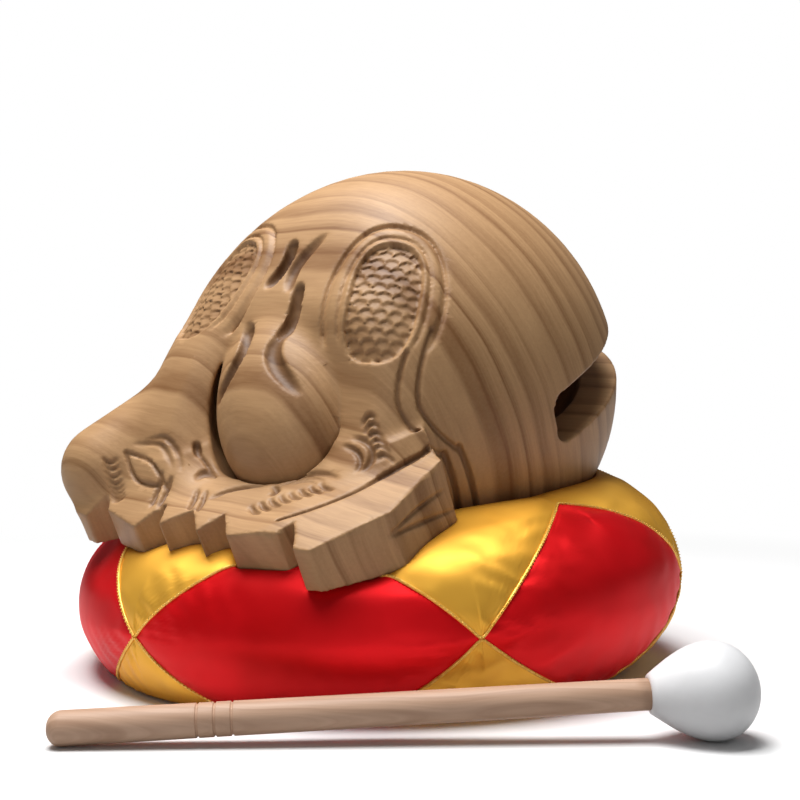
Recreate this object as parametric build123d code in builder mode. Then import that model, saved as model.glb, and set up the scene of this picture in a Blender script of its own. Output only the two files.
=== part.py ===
"""A wooden fish drum on its ring cushion, with its mallet lying in front.

Millimetres, +Z up. The origin is the middle of the cushion's underside, -Y is the front.
"""
import os
from math import asin, atan2, cos, degrees, radians, sin, sqrt, tan

from build123d import *

# Cushion: a stuffed ring in six-fold harlequin panels, leaning a little to the front left
cushion_radius = 135.0
tube_half_width = 49.0
tube_crown = 40.0
cushion_mid_height = 37.0
belly_flattening = 9.0
cushion_lean = 4.5
cushion_lean_azimuth = 225.0
panel_count = 6
first_red_azimuth = -43.8
red_top_inset = 32.4
red_bottom_inset = 23.0
cover_thickness = 1.2
stuffing_gap = 0.15
base_cloth_thickness = 1.5

# Piping: the raised cord along every seam
piping_width = 2.2
piping_rise = 0.7

# Fish: one hollow block, heads to the front left, nose down, leaning a little to its right
bulb_offset = (18.2, 12.4)
bulb_drop = 2.1
bulb_radius = 94.0
bulb_half_length = 83.0
bulb_side_round = 74.0
fish_azimuth = 228.5
fish_pitch = 27.3
fish_roll = 4.0
wall_thickness = 17.0
neck_tilt = 7.5
neck_taper = 21.0
neck_inset = 2.0
neck_front = 108.0

# Heads: two heads side by side with a pearl between, cut off in teeth at the front
head_length = 154.0
head_half_width = 67.0
cheek_half_width = 79.0
cheek_place = 122.0
collar_place = 88.0
collar_depth = 20.0
snout_depth = 6.0
snout_height = 16.0
brow_place = 116.0
brow_height = 42.0
crest_place = 78.0
crest_height = 68.0
tooth_depth = 7.0
inner_tooth = 11.0
outer_tooth = 28.0
tooth_gap = 18.0
corner_notch = 52.0
bevel_half_width = 55.0
bevel_rise = 42.0
bevel_edge = 9.0
pearl_radius = 29.0
pearl_place = 92.0
pearl_height = 33.0
pearl_gap = 6.0
pearl_stand = 14.0
eye_radius = 17.0
eye_place = 131.0
eye_spacing = 76.0
eye_rise = 19.0

# Sound slit: a mouth round the back half of the bulb, in the fish's own middle plane
slit_front = 22.0
slit_upper = 8.0
slit_lower = 14.0
slit_corner = 7.0

# Room between the fish and the cushion that it is pressed into
seat_clearance = 0.3

# Mallet: a turned handle glued into a rubber head, lying in front of the cushion
mallet_tail = -110.4
mallet_gap = 13.0
mallet_yaw = 2.2
handle_length = 205.0
tail_radius = 6.0
neck_radius = 5.45
tail_rounding = 5.0
groove_first = 50.8
groove_pitch = 5.9
groove_count = 3
groove_radius = 0.7
tenon_shoulder = 1.45
tenon_length = 22.0
glue_gap = 0.05
head_face_lip = 1.15
head_max_radius = 17.0
head_max_place = 22.5
egg_length = 38.2

# Cutting tools reach this many times past what they cut, and a rounding takes this share of its wall
past = 2.0
rounding_limit = 0.45

# Frames of the cushion and the fish
tube_centre = cushion_radius - tube_half_width
tube_belly = cushion_mid_height + belly_flattening
lean_direction = Vector(1, 0, 0).rotate(Axis.Z, cushion_lean_azimuth)
cushion_axis = Vector(0, 0, 1) * cos(radians(cushion_lean)) + lean_direction * sin(radians(cushion_lean))
cushion_side = Vector(0, 1, 0).cross(cushion_axis)
cushion_plane = Plane((0, 0, cushion_mid_height), x_dir=cushion_side, z_dir=cushion_axis)

bulb_centre = (*bulb_offset, cushion_mid_height + bulb_radius - bulb_drop)
fish_forward = Vector(cos(radians(fish_pitch)), 0, -sin(radians(fish_pitch))).rotate(Axis.Z, fish_azimuth)
fish_up = Vector(sin(radians(fish_pitch)), 0, cos(radians(fish_pitch))).rotate(Axis.Z, fish_azimuth)
fish_up = fish_up.rotate(Axis((0, 0, 0), fish_forward), -fish_roll)
fish_plane = Plane(bulb_centre, x_dir=fish_forward, z_dir=fish_up)


def section_of(plane):
    """The plane's own X-Z plane, where a profile about its axes is drawn."""
    return Plane(plane.origin, x_dir=plane.x_dir, z_dir=-plane.y_dir)


def axis_x_of(plane):
    """The plane's own X axis."""
    return Axis(plane.origin, plane.x_dir)


def cushion_ring(inset):
    """The stuffed ring, drawn in by inset all over and flat where it rests on its base cloth."""
    with BuildPart() as ring:
        with BuildSketch(section_of(cushion_plane)):
            with BuildLine():
                width = tube_half_width - inset
                EllipticalCenterArc((tube_centre, 0), width, tube_crown - inset, 0, arc_size=180)
                EllipticalCenterArc((tube_centre, 0), width, tube_belly - inset, 180, arc_size=180)
            make_face()
        revolve(axis=Axis(cushion_plane.origin, cushion_plane.z_dir))
        split(bisect_by=Plane.XY.offset(base_cloth_thickness), keep=Keep.TOP)
    return ring.part


# The bulb's profile is an oval of tangent arcs: flat caps fore and aft, a rounder arc between
side_offset = bulb_radius - bulb_side_round
cap_radius = (bulb_radius**2 - 2 * bulb_radius * side_offset - bulb_half_length**2) / (
    2 * (bulb_radius - side_offset - bulb_half_length)
)
cap_centre = cap_radius - bulb_half_length
cap_angle = degrees(atan2(side_offset, cap_centre))


def bulb_solid(grow):
    """The egg of the fish's bulb, grown all over by an amount."""
    with BuildPart() as bulb:
        with BuildSketch(section_of(fish_plane)):
            with BuildLine():
                front_cap = CenterArc((-cap_centre, 0), cap_radius + grow, 0, cap_angle)
                CenterArc((0, side_offset), bulb_side_round + grow, cap_angle, 180 - 2 * cap_angle)
                back_cap = CenterArc((cap_centre, 0), cap_radius + grow, 180 - cap_angle, cap_angle)
                Line(back_cap @ 1, front_cap @ 0)
            make_face()
        revolve(axis=axis_x_of(fish_plane))
    return bulb.part


def underside(place):
    """Height of the heads' flat underside at a distance in front of the bulb's centre."""
    slope = (collar_depth - snout_depth) / (head_length - collar_place)
    return -collar_depth + slope * (place - collar_place)


def fish_prints(clearance):
    """What the fish presses out of the cushion: its bulb, and the block under its heads."""
    with BuildPart() as head_print:
        front = head_length + tooth_depth + clearance
        back = slit_front
        with BuildSketch(section_of(fish_plane)):
            with BuildLine():
                Polyline(
                    (back, underside(back) - clearance),
                    (front, underside(front) - clearance),
                    (front, crest_height),
                    (back, crest_height),
                    close=True,
                )
            make_face()
        extrude(amount=cheek_half_width + clearance, both=True)
    return bulb_solid(clearance), head_print.part


def harlequin(index, grow):
    """The four-sided spike that cuts red panel number index out of the cover."""
    azimuth = first_red_azimuth + index * 360 / panel_count
    inner = tube_centre - tube_half_width / 2
    red_top_radius = cushion_radius - red_top_inset
    red_bottom_radius = cushion_radius - red_bottom_inset
    half_angle = radians(180 / panel_count)
    side_place = cushion_radius * cos(half_angle)
    side_reach = cushion_radius * sin(half_angle) / (side_place - inner)
    top_out = (red_top_radius - tube_centre) / tube_half_width
    top_reach = tube_crown * sqrt(1 - top_out**2) / (red_top_radius - inner)
    bottom_out = (red_bottom_radius - tube_centre) / tube_half_width
    bottom_reach = tube_belly * sqrt(1 - bottom_out**2) / (red_bottom_radius - inner)
    outward = cushion_plane.x_dir.rotate(Axis((0, 0, 0), cushion_plane.z_dir), azimuth)
    with BuildPart() as spike:
        for place in (red_top_radius - piping_width, cushion_radius * past):
            origin = cushion_plane.origin + outward * place
            with BuildSketch(Plane(origin, x_dir=cushion_plane.z_dir.cross(outward), z_dir=outward)):
                run = place - inner
                with BuildLine():
                    Polyline(
                        (side_reach * run + grow, 0),
                        (0, top_reach * run + grow),
                        (-side_reach * run - grow, 0),
                        (0, -bottom_reach * run - grow),
                        close=True,
                    )
                make_face()
        loft(ruled=True)
    return spike.part


def gold_sector(index, half):
    """The sixth of the cushion's upper or lower half that lies between two red panels' tips."""
    azimuth = first_red_azimuth + (index + 0.5) * 360 / panel_count
    half_angle = radians(180 / panel_count)
    reach = cushion_radius * past
    inner = 0 if half == "upper" else tube_centre
    height = tube_crown * past if half == "upper" else -tube_belly * past
    with BuildPart() as sector:
        with BuildSketch(cushion_plane):
            with BuildLine():
                Polyline(
                    (0, 0),
                    (reach * cos(half_angle), -reach * sin(half_angle)),
                    (reach * cos(half_angle), reach * sin(half_angle)),
                    close=True,
                )
            make_face()
            if inner:
                Circle(inner, mode=Mode.SUBTRACT)
        extrude(amount=height)
    return sector.part.rotate(Axis(cushion_plane.origin, cushion_plane.z_dir), azimuth)


def finish(piece, name):
    """Label a finished piece and write it."""
    piece.label = name
    export_step(piece, f"parts/{name}.step")


os.makedirs("parts", exist_ok=True)

# Cushion cover: satin over the whole stuffed ring, pressed in where the fish sits
with BuildPart() as hollow:
    add(cushion_ring(cover_thickness))
    for fish_print in fish_prints(seat_clearance + cover_thickness):
        add(fish_print, mode=Mode.SUBTRACT)
with BuildPart() as cover:
    add(cushion_ring(0))
    for fish_print in fish_prints(seat_clearance):
        add(fish_print, mode=Mode.SUBTRACT)
    add(hollow.part, mode=Mode.SUBTRACT)

# Red panels: six satin lozenges round the outside of the ring
for number in range(panel_count):
    with BuildPart() as red_panel:
        add(cover.part)
        add(harlequin(number, 0), mode=Mode.INTERSECT)
    finish(red_panel.part, f"red_panel_{number + 1}")

# Gold panels: the satin between the lozenges, an upper and a lower one in each gap
with BuildPart() as gold:
    add(cover.part)
    for number in range(panel_count):
        add(harlequin(number, 0), mode=Mode.SUBTRACT)
for number in range(panel_count):
    for half in ("upper", "lower"):
        with BuildPart() as gold_panel:
            add(gold.part)
            add(gold_sector(number, half), mode=Mode.INTERSECT)
        finish(gold_panel.part, f"gold_{half}_panel_{number + 1}")

# Hole lining: the sleeve of gold satin inside the ring, from its waist to the base cloth
with BuildPart() as hole_lining:
    with BuildSketch(cushion_plane):
        Circle(tube_centre)
    extrude(amount=-tube_belly * past)
    add(cover.part, mode=Mode.INTERSECT)
finish(hole_lining.part, "hole_lining")

# Stuffing: the firm ring of wadding inside the cover
with BuildPart() as stuffing:
    add(cushion_ring(cover_thickness + stuffing_gap))
    for fish_print in fish_prints(seat_clearance + cover_thickness + stuffing_gap):
        add(fish_print, mode=Mode.SUBTRACT)
finish(stuffing.part, "cushion_stuffing")

# Base cloth: the flat round of cotton that closes the cushion underneath
with BuildPart() as base_cloth:
    with BuildSketch(section_of(cushion_plane)):
        with BuildLine():
            EllipticalCenterArc((tube_centre, 0), tube_half_width, tube_belly, 270, arc_size=90)
            Line((cushion_radius, 0), (0, 0))
            Line((0, 0), (0, -tube_belly))
            Line((0, -tube_belly), (tube_centre, -tube_belly))
        make_face()
    revolve(axis=Axis(cushion_plane.origin, cushion_plane.z_dir))
    split(bisect_by=Plane.XY, keep=Keep.TOP)
    split(bisect_by=Plane.XY.offset(base_cloth_thickness), keep=Keep.BOTTOM)
finish(base_cloth.part, "base_cloth")

# Piping: twisted cord sewn along the lozenges' edges, over the cover
with BuildPart() as cord_layer:
    add(cushion_ring(-piping_rise))
    add(cushion_ring(0), mode=Mode.SUBTRACT)
    for fish_print in fish_prints(seat_clearance):
        add(fish_print, mode=Mode.SUBTRACT)
with BuildPart() as cord_net:
    for number in range(panel_count):
        add(harlequin(number, piping_width / 2))
    for number in range(panel_count):
        add(harlequin(number, -piping_width / 2), mode=Mode.SUBTRACT)
with BuildPart() as piping:
    add(cord_layer.part)
    add(cord_net.part, mode=Mode.INTERSECT)
for side, keep in (("upper", Keep.TOP), ("lower", Keep.BOTTOM)):
    with BuildPart() as half_piping:
        add(piping.part)
        split(bisect_by=cushion_plane, keep=keep)
    finish(half_piping.part, f"piping_{side}")

# Fore part of the fish: the neck that runs out of the bulb, and the two heads side by side
fish_section = section_of(fish_plane)
tooth_root = head_length - tooth_depth
right_outline = [
    (tooth_root, 0),
    (head_length, inner_tooth),
    (tooth_root, tooth_gap),
    (head_length, outer_tooth),
    (tooth_root + tooth_depth / 2, corner_notch - tooth_depth / 2),
    (tooth_root, corner_notch),
    (head_length, corner_notch + tooth_depth),
    (head_length, head_half_width),
    (cheek_place, cheek_half_width),
    (collar_place, cheek_half_width),
    (0, cheek_half_width / 2),
]
left_outline = [(place, -side) for place, side in reversed(right_outline) if side]
neck_forward = fish_forward.rotate(Axis((0, 0, 0), fish_plane.y_dir), -neck_tilt)
neck_up = fish_up.rotate(Axis((0, 0, 0), fish_plane.y_dir), -neck_tilt)
neck_plane = Plane(bulb_centre, x_dir=neck_forward, z_dir=neck_up)
neck_back_radius = bulb_radius - neck_inset
neck_back = neck_back_radius - bulb_half_length + neck_inset / 2
neck_tangent = radians(neck_taper)
neck_end_radius = neck_back_radius / cos(neck_tangent) - (neck_front - neck_back) * tan(neck_tangent)
with BuildPart() as fore_part:
    with BuildSketch(fish_plane.offset(-collar_depth * past)):
        with BuildLine():
            Polyline(*right_outline, *left_outline, close=True)
        make_face()
    extrude(amount=collar_depth * past + brow_height)
    # Outer cheeks, chiselled off towards the sides
    with BuildSketch(Plane(bulb_centre, x_dir=fish_plane.y_dir, z_dir=fish_forward)):
        for side in (1, -1):
            with BuildLine():
                Polyline(
                    (side * bevel_half_width, bevel_rise),
                    (side * cheek_half_width, bevel_edge),
                    (side * bulb_radius * past, bevel_edge),
                    (side * bulb_radius * past, bulb_radius * past),
                    (side * bevel_half_width, bulb_radius * past),
                    close=True,
                )
            make_face()
    extrude(amount=head_length * past, mode=Mode.SUBTRACT)
    # The neck, a cone that leaves the bulb smoothly
    with BuildSketch(section_of(neck_plane)):
        with BuildLine():
            shoulder = CenterArc((neck_back, 0), neck_back_radius, 180, -90 - neck_taper)
            Polyline(shoulder @ 1, (neck_front, neck_end_radius), (neck_front, 0), shoulder @ 0)
        make_face()
    revolve(axis=axis_x_of(neck_plane))
    # The sloping top of the heads and their flat underside
    with BuildSketch(fish_section):
        with BuildLine():
            Polyline(
                (neck_back, crest_height + crest_place - neck_back),
                (crest_place, crest_height),
                (brow_place, brow_height),
                (head_length, snout_height),
                (head_length * past, snout_height),
                (head_length * past, bulb_radius * past),
                (neck_back, bulb_radius * past),
                close=True,
            )
        make_face()
        with BuildLine():
            Polyline(
                (0, underside(0)),
                (head_length * past, underside(head_length * past)),
                (head_length * past, -bulb_radius * past),
                (0, -bulb_radius * past),
                close=True,
            )
        make_face()
    extrude(amount=bulb_radius * past, both=True, mode=Mode.SUBTRACT)
    # The pearl, standing in the hollow that the two heads curl round
    pearl_spot = fish_plane.from_local_coords(Vector(pearl_place, 0, pearl_height))
    with Locations(pearl_spot + fish_up * pearl_stand):
        Sphere(pearl_radius + pearl_gap, mode=Mode.SUBTRACT)
    with Locations(pearl_spot):
        Sphere(pearl_radius)
    # The eyes, one bulging lid on each head
    for side in (1, -1):
        eye_spot = Vector(eye_place, side * eye_spacing / 2, eye_rise)
        with Locations(fish_plane.from_local_coords(eye_spot)):
            Sphere(eye_radius)

# Fish: the bulb and its fore part are one block, hollowed out through the sound slit
with BuildPart() as fish_body:
    add(bulb_solid(0))
    add(fore_part.part)
    add(bulb_solid(-wall_thickness), mode=Mode.SUBTRACT)
    with BuildSketch(fish_section):
        with BuildLine():
            slit_back = -bulb_half_length * past
            slit_height = slit_upper + slit_lower
            Polyline(
                (slit_back, slit_upper),
                (slit_front, slit_upper),
                (slit_front, -slit_lower),
                (slit_back, -slit_lower),
                close=True,
            )
        make_face()
        fillet(vertices().sort_by(Axis.X)[-2:], min(slit_corner, slit_height * rounding_limit))
    extrude(amount=bulb_radius * past, both=True, mode=Mode.SUBTRACT)
finish(fish_body.part, "fish_body")

# Mallet: it lies in front of the cushion and the fish's front corner, on its tail and its head, so
# its axis rises from the one to the other
front_corner = fish_plane.from_local_coords(Vector(head_length, head_half_width, snout_height))
mallet_front = -max(cushion_radius, -front_corner.Y) - mallet_gap
mallet_length = handle_length + head_max_place
mallet_rise = degrees(asin((head_max_radius - tail_radius) / mallet_length))
mallet_axis = Vector(cos(radians(mallet_rise)), 0, sin(radians(mallet_rise))).rotate(Axis.Z, mallet_yaw)
mallet_up = Vector(-sin(radians(mallet_rise)), 0, cos(radians(mallet_rise))).rotate(Axis.Z, mallet_yaw)
mallet_plane = Plane((mallet_tail, mallet_front, tail_radius), x_dir=mallet_axis, z_dir=mallet_up)
mallet_section = section_of(mallet_plane)
tenon_radius = neck_radius - tenon_shoulder
socket_radius = tenon_radius + glue_gap
tail_corner = min(tail_rounding, 2 * tail_radius * rounding_limit)
head_face_radius = neck_radius + head_face_lip

# Handle: turned beech, thicker at the rounded tail, three grooves and a tenon for the head
with BuildPart() as mallet_handle:
    with BuildSketch(mallet_section):
        with BuildLine():
            Polyline(
                (0, 0),
                (0, tail_radius),
                (handle_length, neck_radius),
                (handle_length, tenon_radius),
                (handle_length + tenon_length, tenon_radius),
                (handle_length + tenon_length, 0),
                close=True,
            )
        make_face()
        fillet(vertices().sort_by_distance((0, tail_radius))[0], tail_corner)
        for number in range(groove_count):
            place = groove_first + number * groove_pitch
            depth = tail_radius - (tail_radius - neck_radius) * place / handle_length
            with Locations((place, depth)):
                Circle(groove_radius, mode=Mode.SUBTRACT)
    revolve(axis=axis_x_of(mallet_plane))
finish(mallet_handle.part, "mallet_handle")

# Head: an egg of white rubber with a socket for the handle's tenon
with BuildPart() as mallet_head:
    with BuildSketch(mallet_section):
        with BuildLine():
            tip = handle_length + egg_length
            Line((handle_length, 0), (handle_length, head_face_radius))
            Spline(
                (handle_length, head_face_radius),
                (handle_length + head_max_place, head_max_radius),
                (tip, 0),
                tangents=((1, 1), (0, -1)),
            )
            Line((tip, 0), (handle_length, 0))
        make_face()
    revolve(axis=axis_x_of(mallet_plane))
    with BuildSketch(Plane(mallet_plane.origin + mallet_axis * handle_length, mallet_up, mallet_axis)):
        Circle(socket_radius)
    extrude(amount=tenon_length + glue_gap, mode=Mode.SUBTRACT)
finish(mallet_head.part, "mallet_head")
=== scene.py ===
from math import acos, asin, atan, atan2, cos, exp, pi, radians, sin, sqrt, tau

import bmesh
import bpy
import numpy as np
import openvdb
from mathutils import Matrix, Vector, noise
from mathutils.kdtree import KDTree


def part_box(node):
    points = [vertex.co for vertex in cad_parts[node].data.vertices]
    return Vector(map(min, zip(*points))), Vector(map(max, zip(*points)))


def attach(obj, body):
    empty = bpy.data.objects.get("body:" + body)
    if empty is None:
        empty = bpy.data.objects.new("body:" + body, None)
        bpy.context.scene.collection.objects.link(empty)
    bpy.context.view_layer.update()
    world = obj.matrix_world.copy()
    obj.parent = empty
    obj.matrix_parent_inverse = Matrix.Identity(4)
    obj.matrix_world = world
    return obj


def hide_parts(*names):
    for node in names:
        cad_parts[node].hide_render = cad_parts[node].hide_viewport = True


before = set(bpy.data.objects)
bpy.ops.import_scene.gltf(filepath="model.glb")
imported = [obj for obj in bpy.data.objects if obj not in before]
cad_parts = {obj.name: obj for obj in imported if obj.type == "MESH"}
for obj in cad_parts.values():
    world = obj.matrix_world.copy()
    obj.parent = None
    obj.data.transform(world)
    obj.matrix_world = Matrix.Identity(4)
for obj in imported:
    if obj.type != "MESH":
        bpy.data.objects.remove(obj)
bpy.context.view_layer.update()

# The fish: one block of camphor wood, carved with chisels and hollowed out through its sound slit. It lies
# nose down and leans a little. Its form is a distance to the surface, in millimetres along its own axes from
# the middle of the bulb: u towards the heads, v to the right as seen from the front, and w up.
mm = 0.001
fish_centre = np.array((18.2, 12.4, 128.9))
fish_azimuth, fish_pitch, fish_roll = np.radians((228.5, 27.3, 4.0))
heading = np.array((cos(fish_azimuth), sin(fish_azimuth), 0.0))
plumb = np.array((0.0, 0.0, 1.0))
forward = cos(fish_pitch) * heading - sin(fish_pitch) * plumb
upright = sin(fish_pitch) * heading + cos(fish_pitch) * plumb
sideways = np.cross(upright, forward)
fish_right = sideways * cos(fish_roll) - upright * sin(fish_roll)
fish_up = upright * cos(fish_roll) + sideways * sin(fish_roll)
fish_axes = np.stack((forward, fish_right, fish_up))

bulb_radii = (82.8, 93.1, 95.0)
wall_thickness = 17.0
neck_back, neck_back_radius = np.array((37.8, 0.0, 8.7)), 85.6
neck_front, neck_front_radius = np.array((106.8, -2.0, 14.1)), 58.5
neck_end = 138.0
neck_blend = 25.0

# Half of the heads as seen from above, from the notch between the snouts round to the collar
head_outline = [
    (146, 0), (156, 11), (145, 17), (156, 28), (151, 50), (144, 53),
    (150, 58), (155, 61), (154, 68), (126, 84), (92, 83), (84, 70), (40, 50),
]
head_outline += [(place, -side) for place, side in reversed(head_outline) if side]
# Their flat underside has a height at a place along the fish, and rises from there to the front
underside_height, underside_place, underside_slope = -20.0, 88.0, 0.212
block_top = 24.0
# The top of each head from the side. The left one falls from the forehead to its snout, and the right one is
# scooped out lower beside the pearl and drops off along its jaw. One passes into the other at the parting.
forehead_line = [(47, 87), (116, 42)]
left_lines = [[(116, 42), (139, 16)], [(139, 16), (152, 10)]]
right_lines = [[(78, 67), (86, 41)], [(86, 41), (110, 16)], [(110, 16), (152, 14)]]
jaw_line = [(40, 140), (82, 84), (90, 76), (106, 70), (127, 62), (152, 42)]
jaw_height, jaw_slope, facet_slope = 16.0, 1.5, 0.15
parting_left, parting_width = -34.0, 28.0
forehead_fillet, snout_fillet, scoop_fillet, facet_fillet, block_fillet = 8, 6, 10, 3, 4
cheek_back, cheek_front, cheek_radius = np.array((104.0, -58.0, 22.0)), np.array((131.0, -70.0, 16.0)), 20.0
# The pearl between the heads stands free in a gap, wide on its left and a mere crease on its right
pearl_middle, pearl_lengths = (83.5, 5.0, 31.0), (45.0, 35.0, 29.0)
pearl_tilt, pearl_yaw = radians(34), 0.2
pearl_gap, pearl_crease, gap_top, gap_fade = 4.5, 1.0, 74.0, 55.0
gap_right, gap_turn = 10.0, 20.0
gap_fillet, pearl_fillet, crease_fillet = 2, 6, 1
slit_front, slit_middle, slit_half_height, slit_corner = 29.0, -3.0, 11.0, 7.0


def joined(a, b, softness):
    """The union of two forms, with a fillet where they meet."""
    share = np.clip(0.5 + 0.5 * (b - a) / softness, 0, 1)
    return b + (a - b) * share - softness * share * (1 - share)


def cut(a, b, softness):
    """What is left of form a where form b is taken away, with softened edges."""
    return -joined(-a, b, softness)


def egg(u, v, w, middle, lengths):
    """Distance to an egg with three half-lengths."""
    x, y, z = ((p - m) / r for p, m, r in zip((u, v, w), middle, lengths))
    reach = np.sqrt(x * x + y * y + z * z)
    slope = np.sqrt(sum((q / r) ** 2 for q, r in zip((x, y, z), lengths)))
    return reach * (reach - 1) / np.maximum(slope, 1e-6)


def tapered(u, v, w, back, front, back_radius, front_radius):
    """Distance to a cone with round ends."""
    axis = front - back
    length = np.linalg.norm(axis)
    lean = asin((back_radius - front_radius) / length)
    along = ((u - back[0]) * axis[0] + (v - back[1]) * axis[1] + (w - back[2]) * axis[2]) / length
    square = (u - back[0]) ** 2 + (v - back[1]) ** 2 + (w - back[2]) ** 2
    off = np.sqrt(np.maximum(square - along**2, 0))
    at = np.clip(along - off * np.tan(lean), 0, length)
    return np.hypot(along - at, off) - back_radius + (back_radius - front_radius) * at / length


def outline_distance(x, y, corners):
    """Distance to a closed outline, negative inside it."""
    nearest = np.full(np.shape(x), np.inf)
    side = np.ones(np.shape(x))
    for (ax, ay), (bx, by) in zip(corners, corners[-1:] + corners[:-1]):
        ex, ey, px, py = bx - ax, by - ay, x - ax, y - ay
        at = np.clip((px * ex + py * ey) / (ex * ex + ey * ey), 0, 1)
        nearest = np.minimum(nearest, (px - ex * at) ** 2 + (py - ey * at) ** 2)
        above, below, left = y >= ay, y < by, ex * py > ey * px
        side = np.where((above & below & left) | ~(above | below | left), -side, side)
    return side * np.sqrt(nearest)


def above_line(x, y, start, end):
    """Distance above the line through two points."""
    run, rise = end[0] - start[0], end[1] - start[1]
    return ((y - start[1]) * run - (x - start[0]) * rise) / sqrt(run**2 + rise**2)


def fish_block(u, v, w):
    """Distance to the carved fish before it is hollowed out, negative inside."""
    bulb = egg(u, v, w, (0, 0, 0), bulb_radii)
    neck = tapered(u, v, w, neck_back, neck_front, neck_back_radius, neck_front_radius)
    under = underside_height + (u - underside_place) * underside_slope - w
    body = joined(bulb, np.maximum(np.maximum(neck, u - neck_end), under), neck_blend)
    forehead = above_line(u, w, *forehead_line)
    brow, snout = (above_line(u, w, *line) for line in left_lines)
    left_top = -joined(-forehead, -joined(brow, snout, snout_fillet), forehead_fillet)
    throat, rise, snout = (above_line(u, w, *line) for line in right_lines)
    beyond_jaw = v - np.interp(u, *zip(*jaw_line))
    shoulder = (w - jaw_height + beyond_jaw * jaw_slope) / sqrt(1 + jaw_slope**2)
    facet = w - jaw_height + np.abs(beyond_jaw) * facet_slope
    scoop = joined(joined(throat, rise, scoop_fillet), snout, scoop_fillet)
    right_top = joined(-joined(-scoop, -shoulder, forehead_fillet), facet, facet_fillet)
    right_top = -joined(-forehead, -right_top, forehead_fillet)
    share = np.clip((v - parting_left) / parting_width, 0, 1)
    top = left_top + (right_top - left_top) * share * share * (3 - 2 * share)
    block = np.maximum(outline_distance(u, v, head_outline), np.maximum(under, w - block_top))
    cheek = tapered(u, v, w, cheek_back, cheek_front, cheek_radius, cheek_radius)
    form = joined(-joined(-body, -top, forehead_fillet), np.maximum(block, top), block_fillet)
    form = joined(form, np.maximum(cheek, under), forehead_fillet)
    x, z = u - pearl_middle[0], w - pearl_middle[2]
    along = x * cos(pearl_tilt) - z * sin(pearl_tilt)
    across = x * sin(pearl_tilt) + z * cos(pearl_tilt)
    pearl = egg(along, v - pearl_middle[1] - pearl_yaw * along, across, (0, 0, 0), pearl_lengths)
    low = np.clip((gap_top - w) / gap_fade, 0, 1)
    gap = low * np.maximum(pearl_crease, pearl_gap * np.clip((gap_right - v) / gap_turn, 0, 1))
    form = cut(form, pearl - gap, gap_fillet)
    return joined(form, pearl, pearl_fillet + (crease_fillet - pearl_fillet) * low)


def fish_form(u, v, w):
    """Distance to the hollow fish, negative inside the wood."""
    form = fish_block(u, v, w)
    cavity = egg(u, v, w, (0, 0, 0), [radius - wall_thickness for radius in bulb_radii])
    ahead = u - slit_front + slit_corner
    beside = np.abs(w - slit_middle) - slit_half_height + slit_corner
    rounded = np.hypot(np.maximum(ahead, 0), np.maximum(beside, 0))
    slit = rounded + np.minimum(np.maximum(ahead, beside), 0) - slit_corner
    return np.maximum(np.maximum(form, -cavity), -slit)


def slope_of(form, places):
    """Unit outward slope of a form at places."""
    shifts = np.eye(3) / 4
    slope = np.stack([form(*(places + shift).T) - form(*(places - shift).T) for shift in shifts], -1)
    return slope / np.maximum(np.linalg.norm(slope, axis=1, keepdims=True), 1e-6)


fall_height, fall_share, fall_steps, settle_steps = 110.0, 0.75, 50, 4


def on_surface(places):
    """Places moved onto the wood: straight down where their height is open, then by the shortest way."""
    places = np.array(places, float)
    falling = np.isnan(places[:, 2])
    places[falling, 2] = fall_height
    for step in range(fall_steps):
        places[falling, 2] -= fall_share * fish_form(*places[falling].T)
    for step in range(settle_steps):
        places -= fish_form(*places.T)[:, None] * slope_of(fish_form, places)
    return places


strokes, stroke_points = [], 9


def gouge(start, bend, end, width, depth, tapers=True):
    """A stroke of the gouge that curves towards bend. A place without a height lies on top of the wood."""
    ends = [(*place, np.nan)[:3] for place in (start, bend, end)]
    strokes.append((ends, width, depth, tapers))


# Flames on the forehead: five leaf-shaped cuts that lick up from the pearl
gouge((48, -6), (58, -1), (67, -9), 6.0, 4.6)
gouge((45, 12), (60, -3), (69, 6), 7.0, 2.2)
gouge((66, 9), (77, 14), (87, 11), 6.0, 4.8)
gouge((85, 12), (99, 8), (102, 30), 8.0, 2.8)
gouge((80, -13), (97, 3), (108, -13), 8.0, 5.0)

# The left head: an almond eye under a double brow, lashes beside it, a nostril, and straps down the snout
gouge((133, -50), (129, -39), (139, -23), 1.9, 1.3, False)
gouge((133, -50), (142, -42), (139, -27), 1.9, 1.3, False)
gouge((130, -50), (122, -33), (133, -23), 2.8, 1.0)
gouge((127, -45), (120, -25), (132, -20), 2.8, 1.0)
for lash in range(8):
    back, side = 140 + lash, -57 + 0.9 * lash
    gouge((back, side), (back + 1, -54 + lash), (136 + 1.2 * lash, -52 + 1.2 * lash), 2.0, 1.1)
gouge((119, -21), (120, -20), (122, -18), 3.4, 2.4)
gouge((121, -20), (122, -14), (126, -7), 1.6, 1.0, False)
gouge((131, -13), (124, -14), (126, -8), 4.6, 1.5)
for strap_side in (-2, 3):
    gouge((134, -26 + strap_side), (141, -25 + strap_side), (148, -23 + strap_side), 2.4, 1.8)
    gouge((134, -7 + strap_side), (141, -3 + strap_side), (147, strap_side), 2.4, 1.6)

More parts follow.
